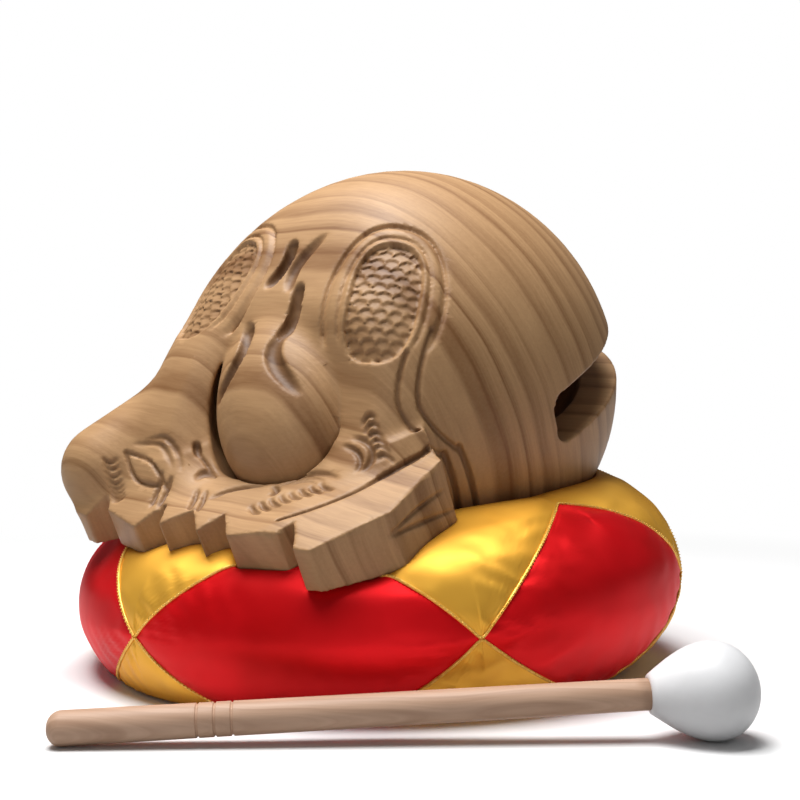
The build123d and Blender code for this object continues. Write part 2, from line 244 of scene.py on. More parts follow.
# The right head: a double brow, a narrow eye, lashes, curls and fins behind it, and the line of the jaw
gouge((139, 2, 15), (130, 6, 15), (125, 24, 16), 3.0, 1.6)
gouge((125, 24, 16), (111, 37, 18), (117, 54, 17), 2.8, 1.5)
gouge((126, 29, 16), (114, 36, 17), (120, 49, 17), 2.0, 0.9)
gouge((124, 33, 16), (117, 39, 17), (122, 46, 17), 1.8, 0.8)
gouge((126, 26, 16), (129, 33, 16), (131, 29, 16), 3.0, 1.9)
for lash in range(8):
    back, side = 138 - 2.6 * lash, 25 + 3.0 * lash
    gouge((back, side), (back + 4, side + 3), (back + 4 - 0.2 * lash, side + 9), 2.4, 1.4)
gouge((101, 49), (101, 67), (112, 60), 3.0, 1.8)
gouge((104, 46), (105, 61), (113, 58), 2.6, 1.5)
for fin in range(6):
    back, side = 98 + 1.6 * fin, 53 + 2.2 * fin
    gouge((back, side), (back - 5, side), (back - 3, side + 6), 2.4, 1.4)
gouge((145, 46), (127, 64), (111, 68), 1.8, 1.6, False)
gouge((111, 68), (100, 73), (89, 76), 2.4, 2.0, False)

# The straps that frame the scales run down the neck to the two grooves of the collar, and the side of the
# right head has a V cut into it
gouge((62, 69, 54), (80, 69, 42), (82, 70, 30), 2.2, 1.3, False)
gouge((82, 70, 30), (82, 74, 20), (75, 78, 9), 2.2, 1.3, False)
gouge((74, 64, 50), (87, 62, 38), (88, 66, 30), 2.2, 1.2, False)
gouge((88, 66, 30), (90, 72, 21), (82, 75, 10), 2.2, 1.2, False)
gouge((81, 76, 10), (79, 76, -6), (77, 71, -24), 2.8, 1.6, False)
gouge((75, 79, 10), (72, 79, -6), (70, 74, -25), 2.8, 1.6, False)
gouge((128, 83, 5), (111, 84, 6), (93, 83, 3), 2.0, 1.1)
gouge((131, 82, 5), (110, 84, -1), (92, 83, -7), 2.0, 1.1)

# Each stroke is the path of a ball, sunk into the wood so that the cut has its width and depth
paths = []
for ends, width, depth, tapers in strokes:
    at = np.linspace(0, 1, stroke_points)[:, None]
    start, bend, end = np.array(ends, float)
    paths.append((1 - at) ** 2 * start + 2 * at * (1 - at) * bend + at**2 * end)
paths = on_surface(np.concatenate(paths)).reshape(len(strokes), -1, 3)
outward = slope_of(fish_form, paths.reshape(-1, 3)).reshape(paths.shape)
gouges = []
for path, lift, (ends, width, depth, tapers) in zip(paths, outward, strokes):
    radius = (width**2 / 4 + depth**2) / (2 * depth)
    sink = depth * np.sqrt(np.sin(pi * np.linspace(0, 1, len(path))))[:, None] if tapers else depth
    gouges.append((path + lift * (radius - sink), radius))

# Scales: a sunk oval on each side of the neck, inside a strap between two grooves, and cut with rows of
# scallops that are deepest at their tops
panel_tilt, panel_turn, panel_reach = radians(27), radians(32), 45.0
right_panel, left_panel = ((66.0, 53.0), radians(43)), ((67.0, -43.0), radians(-38))
scale_half_width, scale_half_length, oval_power = 14.5, 26.5, 2.6
scale_pitch, scale_row, scale_radius, scale_depth = 6.0, 3.9, 3.05, 1.4
floor_depth, floor_bevel, scale_margin = 1.2, 0.8, 1.2
# Each groove's distance from the oval, half width and depth. They fade out towards the oval's foot.
strap_grooves = ((2.6, 1.2, 1.2), (8.6, 1.8, 1.8))
strap_foot, strap_fade = 0.75 * scale_half_length, 6.0
panels = []
for place, around in (right_panel, left_panel):
    middle = on_surface([(*place, np.nan)])[0]
    hand = np.sign(around)
    down = np.array((cos(panel_tilt), -sin(panel_tilt) * sin(around), -sin(panel_tilt) * cos(around)))
    out = np.array((0, cos(around), -sin(around))) * hand
    long_way = cos(panel_turn) * down + sin(panel_turn) * out
    panels.append((middle, long_way, cos(panel_turn) * out - sin(panel_turn) * down))


def scallops(x, y):
    """Depth of the scales' cuts at places in a panel."""
    depth = np.zeros(np.shape(x))
    for row_shift in (-1, 0, 1):
        row = np.floor(y / scale_row + 0.5) + row_shift
        rise = y - row * scale_row
        stagger = 0.5 * np.mod(row, 2)
        off = x - (np.floor(x / scale_pitch - stagger + 0.5) + stagger) * scale_pitch
        inside = off**2 + rise**2 < scale_radius**2
        scallop = scale_depth * (rise + scale_radius) / (2 * scale_radius)
        depth = np.maximum(depth, np.where(inside, scallop, 0))
    return depth


def groove(distance, middle, half_width, depth):
    """Depth of a V groove along an outline."""
    return depth * np.clip(1 - np.abs(distance - middle) / half_width, 0, 1)


def scaled_form(u, v, w):
    """The fish's form with its two ovals of scales sunk into it."""
    form = fish_form(u, v, w)
    place = np.stack((u, v, w), -1)
    low, high = place.reshape(-1, 3).min(0), place.reshape(-1, 3).max(0)
    for middle, long_way, cross_way in panels:
        if np.any(low > middle + panel_reach) or np.any(high < middle - panel_reach):
            continue
        y, x = -(place - middle) @ long_way, (place - middle) @ cross_way
        reach = np.hypot(x, y) + 1e-6
        across, along = np.abs(x / scale_half_width), np.abs(y / scale_half_length)
        ratio = (across**oval_power + along**oval_power) ** (1 / oval_power)
        rim = reach - reach / np.maximum(ratio, 0.05)
        near = np.linalg.norm(place - middle, axis=-1) < panel_reach
        depth = floor_depth * np.clip(-rim / floor_bevel, 0, 1)
        depth += np.where(rim < -scale_margin, scallops(x, y), 0)
        framed = np.clip((y + strap_foot) / strap_fade, 0, 1)
        depth += sum(groove(rim, *sizes) for sizes in strap_grooves) * framed
        form = form + np.where(near, depth, 0)
    return form


def carved_form(u, v, w):
    """The fish's form with its scales and all the strokes of the gouge cut into it."""
    form = scaled_form(u, v, w)
    place = np.stack((u, v, w), -1)
    low, high = place.reshape(-1, 3).min(0), place.reshape(-1, 3).max(0)
    for path, radius in gouges:
        if np.any(low > path.max(0) + radius) or np.any(high < path.min(0) - radius):
            continue
        for start, end in zip(path, path[1:]):
            run = end - start
            at = np.clip((place - start) @ run / (run @ run), 0, 1)
            away = np.linalg.norm(place - start - at[..., None] * run, axis=-1)
            form = np.maximum(form, radius - away)
    return form


def sculpt(form, low, high, cell, flatness):
    """The corners, triangles and quads of a form's surface, found on a grid in blocks of cells."""
    side = 16
    # A block whose middle lies further off than this has no surface in it
    reach = side * cell * 1.2
    counts = np.ceil((np.array(high) - low) / (side * cell)).astype(int)
    starts = np.stack(np.meshgrid(*map(np.arange, counts), indexing="ij"), -1).reshape(-1, 3) * side
    middles = form(*(low + (starts + (side - 1) / 2) * cell).T)
    band = 3 * cell
    field = np.empty(counts * side, np.float32)
    for start, middle in zip(starts, middles):
        place = tuple(slice(s, s + side) for s in start)
        if abs(middle) > reach:
            field[place] = np.sign(middle) * band
            continue
        ticks = [low[axis] + (start[axis] + np.arange(side)) * cell for axis in range(3)]
        u, v, w = np.meshgrid(*ticks, indexing="ij")
        field[place] = np.clip(form(u, v, w), -band, band)
    grid = openvdb.FloatGrid(band)
    grid.copyFromArray(field)
    corners, triangles, quads = grid.convertToPolygons(isovalue=0.0, adaptivity=flatness)
    return low + corners * cell, triangles, quads


def placed(name, data):
    """An object in the scene, at its origin."""
    thing = bpy.data.objects.new(name, data)
    bpy.context.scene.collection.objects.link(thing)
    return thing


def new_piece(name, corners, faces):
    """A mesh object at the origin, in metres, with its faces smooth."""
    mesh = bpy.data.meshes.new(name)
    mesh.from_pydata(corners, [], faces)
    mesh.validate()
    mesh.shade_smooth()
    return placed(name, mesh)


sculpt_cell = 0.75
sculpt_low, sculpt_high, sculpt_flatness = np.array((-90.0, -100.0, -100.0)), (165, 100, 105), 0.02
corners, triangles, quads = sculpt(carved_form, sculpt_low, sculpt_high, sculpt_cell, sculpt_flatness)
# Each corner keeps how deep it was cut, as a share of the depth where a cut is darkest with painted shade
darkest_stroke, darkest_scale = 1.5, 2.4
stroke_depth, scale_relief = -scaled_form(*corners.T), -fish_form(*corners.T) - floor_depth
cut_shade_share = np.clip(np.maximum(stroke_depth / darkest_stroke, scale_relief / darkest_scale), 0, 1)
corners = (fish_centre + corners @ fish_axes) * mm
carved_fish = new_piece("carved_fish", corners.tolist(), triangles.tolist() + quads.tolist())
# The attribute cut darkens the wood there: partly end grain and dust, partly painted shade in the hollows
cut_shade_marks = carved_fish.data.attributes.new("cut", "FLOAT", "POINT")
cut_shade_marks.data.foreach_set("value", cut_shade_share.astype(np.float32))


def add(tree, kind, feeds=None, **settings):
    """A node with its settings, and its inputs fed from other nodes or set to plain values."""
    node = tree.nodes.new(kind)
    for name, value in settings.items():
        setattr(node, name, value)
    for socket, value in (feeds or {}).items():
        if isinstance(value, bpy.types.NodeSocket):
            tree.links.new(value, node.inputs[socket])
        else:
            node.inputs[socket].default_value = value
    return node


def maths(tree, operation, *values, vector=False):
    """The result of a maths node for sockets or plain values."""
    kind = "ShaderNodeVectorMath" if vector else "ShaderNodeMath"
    node = add(tree, kind, dict(enumerate(values)), operation=operation)
    return node.outputs["Vector" if vector and operation != "LENGTH" else "Value"]


def mixed(tree, share, first, second, blend="MIX"):
    """A mix of two colours."""
    feeds = {0: share, 6: first, 7: second}
    return add(tree, "ShaderNodeMix", feeds, data_type="RGBA", blend_type=blend).outputs[2]


def new_group(name, kind, inputs, outputs):
    """An empty node group with named inputs and outputs, and its two end nodes."""
    tree = bpy.data.node_groups.new(name, kind)
    for way, sockets in (("INPUT", inputs), ("OUTPUT", outputs)):
        for label, value in sockets.items():
            socket = tree.interface.new_socket(label, in_out=way, socket_type="NodeSocket" + value[0])
            if len(value) > 1:
                socket.default_value = value[1]
    return tree, tree.nodes.new("NodeGroupInput").outputs, tree.nodes.new("NodeGroupOutput").inputs


def ramp(tree, source, stops):
    """A colour ramp through stops of place and colour."""
    node = add(tree, "ShaderNodeValToRGB", {0: source})
    while len(node.color_ramp.elements) < len(stops):
        node.color_ramp.elements.new(0.5)
    for element, (place, colour) in zip(node.color_ramp.elements, stops):
        element.position = place
        element.color = (*colour, 1)
    return node.outputs[0]


def new_material(name, **plain):
    """A material with its principled shader's plain values set, and its tree."""
    material = bpy.data.materials.new(name)
    material.use_nodes = True
    tree = material.node_tree
    shader = tree.nodes["Principled BSDF"]
    for socket, value in plain.items():
        shader.inputs[socket.replace("_", " ")].default_value = value
    return material, tree, shader


# Grain that all the wood shares: growth rings about a log's axis, and fibres along it
wood_tree, wood_in, wood_out = new_group(
    "wood figure",
    "ShaderNodeTree",
    {
        "Place": ("Vector",),
        "Ring spacing": ("Float", 0.012),
        "Early wood": ("Color", (0.5, 0.32, 0.18, 1)),
        "Late wood": ("Color", (0.3, 0.16, 0.07, 1)),
        "Ring strength": ("Float", 0.6),
    },
    {"Color": ("Color",), "Height": ("Float",)},
)
swirl = add(wood_tree, "ShaderNodeTexNoise", {"Vector": wood_in["Place"], "Scale": 9.0, "Detail": 2.0})
sway = (0.016, 0.016, 0.016)
bent = maths(wood_tree, "MULTIPLY_ADD", swirl.outputs["Color"], sway, wood_in["Place"], vector=True)
flat = maths(wood_tree, "MULTIPLY", bent, (1.0, 1.0, 0.0), vector=True)
radius = maths(wood_tree, "LENGTH", flat, vector=True)
turns = maths(wood_tree, "DIVIDE", radius, wood_in["Ring spacing"])
years = {"W": turns, "Scale": 0.45, "Detail": 3.0}
years = add(wood_tree, "ShaderNodeTexNoise", years, noise_dimensions="1D").outputs[0]
turns = maths(wood_tree, "MULTIPLY_ADD", years, 1.8, turns)
# A ring is pale in spring, darkens through the summer and breaks off sharply in winter
seasons = [(place, (grey, grey, grey)) for place, grey in ((0.0, 0.1), (0.45, 0.3), (0.86, 1), (1.0, 0.1))]
season = ramp(wood_tree, maths(wood_tree, "FRACT", turns), seasons)
fibres = maths(wood_tree, "MULTIPLY", bent, (900.0, 900.0, 60.0), vector=True)
fibres = add(wood_tree, "ShaderNodeTexNoise", {"Vector": fibres, "Scale": 1.0, "Detail": 2.0}).outputs[0]
late = maths(wood_tree, "MULTIPLY", maths(wood_tree, "MULTIPLY", season, years), wood_in["Ring strength"])
late = maths(wood_tree, "MULTIPLY_ADD", fibres, 0.25, late)
spread = maths(wood_tree, "MULTIPLY", bent, (0.0, 45.0, 45.0), vector=True)
pores = {"Vector": spread, "W": maths(wood_tree, "MULTIPLY", turns, 9.0), "Scale": 1.0, "Detail": 4.0}
pores = add(wood_tree, "ShaderNodeTexNoise", pores, noise_dimensions="4D").outputs[0]
late = maths(wood_tree, "MULTIPLY_ADD", pores, 0.7, late)
late = maths(wood_tree, "SUBTRACT", late, 0.35)
late.node.use_clamp = True
wood_tree.links.new(mixed(wood_tree, late, wood_in["Early wood"], wood_in["Late wood"]), wood_out["Color"])
wood_tree.links.new(fibres, wood_out["Height"])

carved_wood, tree, shader = new_material("carved_wood", Roughness=0.5, Specular_IOR_Level=0.3)
coords = add(tree, "ShaderNodeTexCoord").outputs["Object"]
log_axes, pith_offset = Matrix((forward, fish_up, -fish_right)), Vector((0.30, -0.04, 0.0))
log_place = pith_offset - log_axes @ Vector(fish_centre * mm)
log = add(tree, "ShaderNodeMapping", {0: coords, 1: log_place, 2: log_axes.to_euler()}).outputs[0]
camphor = {
    "Place": log,
    "Ring spacing": 0.012,
    "Early wood": (0.54, 0.32, 0.155, 1),
    "Late wood": (0.23, 0.105, 0.038, 1),
    "Ring strength": 1.15,
}
figure = add(tree, "ShaderNodeGroup", camphor, node_tree=wood_tree)
# The cuts lie across the grain and hold dust, and they carry painted shade in their hollows besides
cuts = add(tree, "ShaderNodeAttribute", attribute_name="cut").outputs["Fac"]
cut_shade_tint = mixed(tree, cuts, (1, 1, 1, 1), (0.42, 0.36, 0.31, 1))
# The grain's colour times the cut tint: end grain and dust in the cuts, with painted shade in their hollows
grain_with_cut_shade = mixed(tree, 1.0, figure.outputs["Color"], cut_shade_tint, "MULTIPLY")
tree.links.new(grain_with_cut_shade, shader.inputs["Base Color"])
fine = {"Height": figure.outputs["Height"], "Strength": 0.15, "Distance": 0.0004}
fine = add(tree, "ShaderNodeBump", fine).outputs[0]
tree.links.new(fine, shader.inputs["Normal"])
carved_fish.data.materials.append(carved_wood)
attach(carved_fish, "fish")
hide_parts("fish_body")

# The cushion: a ring stuffed tight with wadding under a cover of satin, sewn from six red lozenges and the
# gold pieces between them. It leans a little to the front left, and its crown takes the print of the fish.
cushion_radius, ring_radius, tube_half_width = 135.0, 86.0, 49.0
tube_crown, tube_belly, mid_height = 40.0, 46.0, 37.0
crown_swell, side_swell, swell_azimuth = 8.0, 3.0, radians(40)
cushion_lean, lean_azimuth = radians(4.5), radians(225)
panel_count, first_red = 6, radians(-43.8)
cover_inset, floor_height = 2.5, 1.5
# A lozenge's side tips meet its neighbours' on the widest round, and its top and bottom tips lie further in
lozenge_inner, lozenge_top, lozenge_bottom = ring_radius - tube_half_width / 2, 102.6, 112.0
tip_across, tip_out = cushion_radius * sin(pi / panel_count), cushion_radius * cos(pi / panel_count)
side_reach = tip_across / (tip_out - lozenge_inner)
top_tip = acos((lozenge_top - ring_radius) / tube_half_width)
bottom_tip = -acos((lozenge_bottom - ring_radius) / tube_half_width)
top_reach = tube_crown * sin(top_tip) / (lozenge_top - lozenge_inner)
bottom_reach = tube_belly * sin(-bottom_tip) / (lozenge_bottom - lozenge_inner)
lean_way = np.array((cos(lean_azimuth), sin(lean_azimuth), 0.0))
cushion_up = sin(cushion_lean) * lean_way + cos(cushion_lean) * plumb
cushion_x = np.cross((0, 1, 0), cushion_up)
cushion_x /= np.linalg.norm(cushion_x)
cushion_y = np.cross(cushion_up, cushion_x)


def ring_point(azimuth, turn, inset):
    """A point of the stuffed ring, in millimetres, at an azimuth and a turn about the tube."""
    plump = 0.5 + 0.5 * np.cos(azimuth - swell_azimuth)
    out = ring_radius + (tube_half_width + side_swell - inset) * np.cos(turn)
    rise = np.where(turn > 0, tube_crown + crown_swell * plump, tube_belly) - inset
    along_x = np.multiply.outer(out * np.cos(azimuth), cushion_x)
    along_y = np.multiply.outer(out * np.sin(azimuth), cushion_y)
    return along_x + along_y + np.multiply.outer(rise * np.sin(turn), cushion_up) + mid_height * plumb


def lozenge_half_angle(turn):
    """Half the azimuth that a red lozenge takes up at a turn about the tube."""
    out = ring_radius + tube_half_width * cos(turn)
    rise = tube_crown * sin(turn) / top_reach if turn > 0 else -tube_belly * sin(turn) / bottom_reach
    lean = atan(1 / side_reach)
    if not bottom_tip < turn < top_tip:
        return 0.0
    return max(0.0, acos(min(1, (lozenge_inner + rise) * cos(lean) / out)) - lean)


# Turns about the tube where a row of the cover has to lie, and the count of rows from each to the next
row_marks = [(-pi, 10), (-pi / 2, 6), (bottom_tip, 10), (0, 10), (top_tip, 15), (pi, 0)]
row_turns = [
    start + (end - start) * step / count
    for (start, count), (end, _) in zip(row_marks, row_marks[1:])
    for step in range(count)
]
columns, seam_sharpness = 12, 0.6
cover = bmesh.new()
panel_names = []
grid_rows = []
for turn in row_turns:
    half = lozenge_half_angle(turn)
    row = []
    for sector in range(panel_count):
        middle = first_red + sector * tau / panel_count
        gold = tau / panel_count - 2 * half
        row += [middle - half + 2 * half * step / columns for step in range(columns)]
        row += [middle + half + gold * step / columns for step in range(columns)]
    points = ring_point(np.array(row), np.full(len(row), turn), cover_inset)
    grid_rows.append([cover.verts.new(point * mm) for point in points])
for index, row in enumerate(grid_rows):
    above = grid_rows[(index + 1) % len(grid_rows)]
    turn = row_turns[index]
    for column in range(len(row)):
        beside = (column + 1) % len(row)
        sector, place = divmod(column, 2 * columns)
        if turn < -pi / 2 - 0.001:
            name = "hole_lining"
        elif place < columns:
            name = f"red_panel_{sector + 1}"
        else:
            name = f"gold_{'upper' if turn > -0.001 else 'lower'}_panel_{sector + 1}"
        if name not in panel_names:
            panel_names.append(name)
        face = cover.faces.new((row[column], row[beside], above[beside], above[column]))
        face.material_index = panel_names.index(name)
        face.smooth = True
bmesh.ops.remove_doubles(cover, verts=cover.verts, dist=0.0002)
bmesh.ops.dissolve_degenerate(cover, edges=cover.edges, dist=0.0001)
bmesh.ops.recalc_face_normals(cover, faces=cover.faces)
seam_crease = cover.edges.layers.float.new("crease_edge")
seam_corners = set()
cover.verts.index_update()
for edge in cover.edges:
    kinds = {face.material_index for face in edge.link_faces}
    if len(kinds) > 1:
        edge[seam_crease] = seam_sharpness
        seam_corners.update(vert.index for vert in edge.verts)
cover_mesh = bpy.data.meshes.new("cushion_cover")
cover.to_mesh(cover_mesh)
cover.free()
cover_piece = placed("cushion_cover", cover_mesh)
for name in panel_names:
    cover_mesh.materials.append(None)


def corners_of(mesh):
    """The places of a mesh's vertices, as an array."""
    places = np.empty(len(mesh.vertices) * 3, np.float32)
    mesh.vertices.foreach_get("co", places)
    return places.reshape(-1, 3).astype(float)


def stuff(piece, held, pressure, most, steps=20):
    """Swell a cover under the pressure of its wadding, held at its seams, by a given distance at most."""
    start = corners_of(piece.data)
    pins = piece.vertex_groups.new(name="seams")
    pins.add(list(held), 1.0, "REPLACE")
    cloth = piece.modifiers.new("stuffing", "CLOTH")
    cloth.settings.quality = 6
    cloth.settings.mass = 0.2
    cloth.settings.tension_stiffness = 5
    cloth.settings.compression_stiffness = 5
    cloth.settings.shear_stiffness = 3
    cloth.settings.bending_stiffness = 0.2
    cloth.settings.use_pressure = True
    cloth.settings.uniform_pressure_force = pressure
    cloth.settings.vertex_group_mass = "seams"
    cloth.settings.effector_weights.gravity = 0
    cloth.point_cache.frame_start, cloth.point_cache.frame_end = 1, steps
    for step in range(1, steps + 1):
        bpy.context.scene.frame_set(step)
    swollen = piece.evaluated_get(bpy.context.evaluated_depsgraph_get()).to_mesh()
    moved = corners_of(swollen) - start
    piece.modifiers.remove(cloth)
    bpy.context.scene.frame_set(1)
    far = np.linalg.norm(moved, axis=1, keepdims=True)
    moved *= np.minimum(1, most / np.maximum(far, 1e-9))
    piece.data.vertices.foreach_set("co", (start + moved).astype(np.float32).ravel())
    piece.data.update()


stuff(cover_piece, seam_corners, pressure=4.0, most=0.006)
coarse = corners_of(cover_piece.data) / mm
coarse_normals = np.array([vertex.normal for vertex in cover_piece.data.vertices])
coarse_faces = [list(face.vertices) for face in cover_piece.data.polygons]
rounding = cover_piece.modifiers.new("rounding", "SUBSURF")
rounding.levels = rounding.render_levels = 2
full = bpy.data.meshes.new_from_object(cover_piece.evaluated_get(bpy.context.evaluated_depsgraph_get()))
bpy.data.objects.remove(cover_piece)


def pressed(places, clearance):
    """Where soft points come to lie when the fish sits on them and the table is under them."""
    places = places.copy()
    for step in range(4):
        local = (places - fish_centre) @ fish_axes.T
        depth = fish_block(*local.T)
        touched = np.flatnonzero(depth < clearance)
        slope = slope_of(fish_block, local[touched])
        places[touched] += (slope * (clearance - depth[touched])[:, None]) @ fish_axes
    places[:, 2] = np.maximum(places[:, 2], floor_height)
    return places


# The satin lies in a valley along each seam, puckers there, and pulls into long shallow folds round the ring
valley_depth, valley_reach = 1.3, 5.0
pucker_height, pucker_start, pucker_reach, pucker_pitch, pucker_wander = 0.55, 2.0, 13.0, 8.5, 3.0
fold_height, fold_start, fold_rate, fold_pitch = 1.1, 9.0, 1.6, 0.32
seam_tree = KDTree(len(full.vertices))
seam_shell = bmesh.new()
seam_shell.from_mesh(full)
for edge in seam_shell.edges:
    if len({face.material_index for face in edge.link_faces}) > 1:
        for vert in edge.verts:
            seam_tree.insert(vert.co, vert.index)
seam_shell.free()
seam_tree.balance()
rumpled = corners_of(full) / mm
for vertex in full.vertices:
    seam, index, far = seam_tree.find(vertex.co)
    far /= mm
    flat = vertex.co / mm
    azimuth = atan2(flat.y, flat.x)
    turn = atan2(flat.z - mid_height, sqrt(flat.x**2 + flat.y**2) - ring_radius)
    wander = noise.noise(Vector((azimuth * 9, turn * 5, 0.5)))
    along = (seam.z + seam.x * 0.6 - seam.y * 0.4) / mm
    pucker = sin(tau * along / pucker_pitch + pucker_wander * wander) * (1 - exp(-far / pucker_start))
    pucker *= exp(-far / pucker_reach)
    fold = noise.noise(Vector((azimuth * fold_rate, turn / fold_pitch, 4.2))) * (1 - exp(-far / fold_start))
    lift = pucker_height * pucker + fold_height * fold - valley_depth * exp(-far / valley_reach)
    rumpled[vertex.index] += np.array(vertex.normal) * lift


def relaxed(places, ends, near, rounds, draw=0.6):
    """Places near the fish drawn towards their neighbours, as the satin bridges the print's corners."""
    far = fish_block(*((places - fish_centre) @ fish_axes.T).T)
    share = draw * np.clip(1 - far / near, 0, 1)[:, None]
    both = np.concatenate((ends, ends[:, ::-1]))
    count = np.bincount(both[:, 0], minlength=len(places))[:, None]
    for step in range(rounds):
        drawn = [np.bincount(both[:, 0], places[both[:, 1], axis], len(places)) for axis in range(3)]
        places = places + share * (np.stack(drawn, -1) / count - places)
    return places


# The fish presses its print into the satin, and the table presses the belly flat
print_clearance, print_reach, print_rounds = 0.5, 12.0, 30
edge_ends = np.empty(len(full.edges) * 2, np.int32)
full.edges.foreach_get("vertices", edge_ends)
dented = relaxed(pressed(rumpled, print_clearance), edge_ends.reshape(-1, 2), print_reach, print_rounds)
full.vertices.foreach_set("co", (pressed(dented, print_clearance) * mm).astype(np.float32).ravel())
full.update()


def mottle(tree, shader, scale, detail, stops):
    """Colour that drifts softly over a surface."""
    coords = add(tree, "ShaderNodeTexCoord").outputs["Object"]
    drift = add(tree, "ShaderNodeTexNoise", {"Vector": coords, "Scale": scale, "Detail": detail}).outputs[0]
    tree.links.new(ramp(tree, drift, stops), shader.inputs["Base Color"])


satin = {}
for shade, light, dark in (
    ("red", (0.84, 0.006, 0.011), (0.58, 0.002, 0.003)),
    ("gold", (0.93, 0.49, 0.06), (0.78, 0.36, 0.03)),
):
    material, tree, shader = new_material(
        f"{shade}_satin", Metallic=0.5, Roughness=0.48, Specular_IOR_Level=0.2, Anisotropic=0.5
    )
    mottle(tree, shader, 18.0, 3.0, [(0.3, dark), (0.6, light)])
    satin[shade] = material

# Cut sizes of the satin pieces: width, length and area
panel_cuts = {
    "red": (0.142, 0.104, 0.0075),
    "gold_upper": (0.104, 0.145, 0.0092),
    "gold_lower": (0.118, 0.078, 0.0053),
    "hole": (0.400, 0.080, 0.0220),
}
cover_cut = bmesh.new()
cover_cut.from_mesh(full)
for index, name in enumerate(panel_names):
    part = cover_cut.copy()
    others = [face for face in part.faces if face.material_index != index]
    bmesh.ops.delete(part, geom=others, context="FACES")
    for face in part.faces:
        face.material_index = 0
    mesh = bpy.data.meshes.new(name)
    part.to_mesh(mesh)
    part.free()
    shade = "red" if name.startswith("red") else "gold"
    mesh.materials.append(satin[shade])
    panel = placed(f"{name}_satin", mesh)
    width, length, area = panel_cuts[name.split("_panel")[0].split("_lining")[0]]
    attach(panel, "cushion")
    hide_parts(name)
cover_cut.free()

# The wadding: loose cotton, packed tight into the cover through the open base.
# Nothing but the sewn cover holds it, and it swells the cover between the seams.
wadding_inset = 5.0
wadding_places = pressed(coarse - coarse_normals * wadding_inset, wadding_inset)
cushion_wadding = new_piece("cushion_wadding", (wadding_places * mm).tolist(), coarse_faces)
wadding, tree, shader = new_material("wadding", Roughness=0.95)
mottle(tree, shader, 120.0, 4.0, [(0.3, (0.7, 0.68, 0.62)), (0.7, (0.86, 0.85, 0.8))])
cushion_wadding.data.materials.append(wadding)
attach(cushion_wadding, "cushion")
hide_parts("cushion_stuffing")

# The base cloth: a round of plain red cotton with a turned hem.
# It is sewn under the ring and closes it.
cloth_low, cloth_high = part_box("base_cloth")
cloth_middle, cloth_half = (cloth_low + cloth_high) / 2, (cloth_high - cloth_low) / 2
# Rings from its top middle over the hem to its bottom middle, as shares of the radius and of the thickness
cloth_rings = [(0.0, 1.0), (0.5, 1.0), (0.87, 1.0), (0.9, 0.6)]
cloth_rings += [(0.9, 0.2), (0.88, 0.0), (0.5, 0.0), (0.0, 0.0)]
cloth_sides = 96
cloth_corners = [
    (
        cloth_middle.x + cloth_half.x * out * cos(tau * step / cloth_sides),
        cloth_middle.y + cloth_half.y * out * sin(tau * step / cloth_sides),
        cloth_low.z + (cloth_high.z - cloth_low.z) * up,
    )
    for out, up in cloth_rings
    for step in range(cloth_sides)
]


def ring_faces(rings, sides):
    """Quads between rings of corners that lie one after the other."""
    return [
        (ring * sides + step, (ring + 1) * sides + step, (ring + 1) * sides + after, ring * sides + after)
        for ring in range(rings - 1)
        for step in range(sides)
        for after in [(step + 1) % sides]
    ]


def close_poles(piece):
    """Weld the corners that meet on an axis, and turn the faces outwards."""
    shell = bmesh.new()
    shell.from_mesh(piece.data)
    bmesh.ops.remove_doubles(shell, verts=shell.verts, dist=1e-6)
    bmesh.ops.recalc_face_normals(shell, faces=shell.faces)
    shell.to_mesh(piece.data)
    shell.free()


base_round = new_piece("base_round", cloth_corners, ring_faces(len(cloth_rings), cloth_sides))
close_poles(base_round)
base_cotton, tree, shader = new_material("base_cotton", Roughness=0.9)
coords = add(tree, "ShaderNodeTexCoord").outputs["Object"]
weave = add(tree, "ShaderNodeTexWave", {"Vector": coords, "Scale": 600.0, "Distortion": 1.0}).outputs[1]
reds = ramp(tree, weave, [(0.2, (0.32, 0.02, 0.02)), (0.8, (0.42, 0.03, 0.03))])
tree.links.new(reds, shader.inputs["Base Color"])
base_round.data.materials.append(base_cotton)
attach(base_round, "cushion")
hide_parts("base_cloth")

# The piping: a thin cord of gold thread, laid over every seam of the lozenges.
# Slanted stitches of the same thread whip it down, in one run above and one below.
cord_radius, cord_lift = 0.0006, 0.0003
stitch_gap, stitch_length, stitch_width, stitch_turn = 0.0017, 0.0021, 0.0008, radians(38)
piping_cord, tree, shader = new_material("piping_cord", Metallic=0.5, Roughness=0.4)
mottle(tree, shader, 300.0, 2.0, [(0.3, (0.80, 0.42, 0.05)), (0.7, (0.95, 0.62, 0.14))])

cord_tree, cord_in, cord_out = new_group(
    "whipped cord",
    "GeometryNodeTree",
    {
        "Geometry": ("Geometry",),
        "Radius": ("Float", cord_radius),
        "Stitch gap": ("Float", stitch_gap),
        "Stitch size": ("Vector", (stitch_length, stitch_width, stitch_width)),
        "Stitch turn": ("Float", stitch_turn),
        "Thread": ("Material",),
    },
    {"Geometry": ("Geometry",)},
)
seam_line = add(cord_tree, "GeometryNodeMeshToCurve", {0: cord_in["Geometry"]}).outputs[0]
spaced = {"Curve": seam_line, "Length": cord_in["Stitch gap"]}
spaced = add(cord_tree, "GeometryNodeResampleCurve", spaced, mode="LENGTH").outputs[0]
section = {"Resolution": 8, "Radius": cord_in["Radius"]}
section = add(cord_tree, "GeometryNodeCurvePrimitiveCircle", section).outputs[0]
tube = {"Curve": spaced, "Profile Curve": section, "Fill Caps": True}
tube = add(cord_tree, "GeometryNodeCurveToMesh", tube).outputs[0]
points = add(cord_tree, "GeometryNodeCurveToPoints", {"Curve": spaced}, mode="EVALUATED").outputs
bead = add(cord_tree, "GeometryNodeMeshIcoSphere", {"Radius": 0.5, "Subdivisions": 2}).outputs[0]
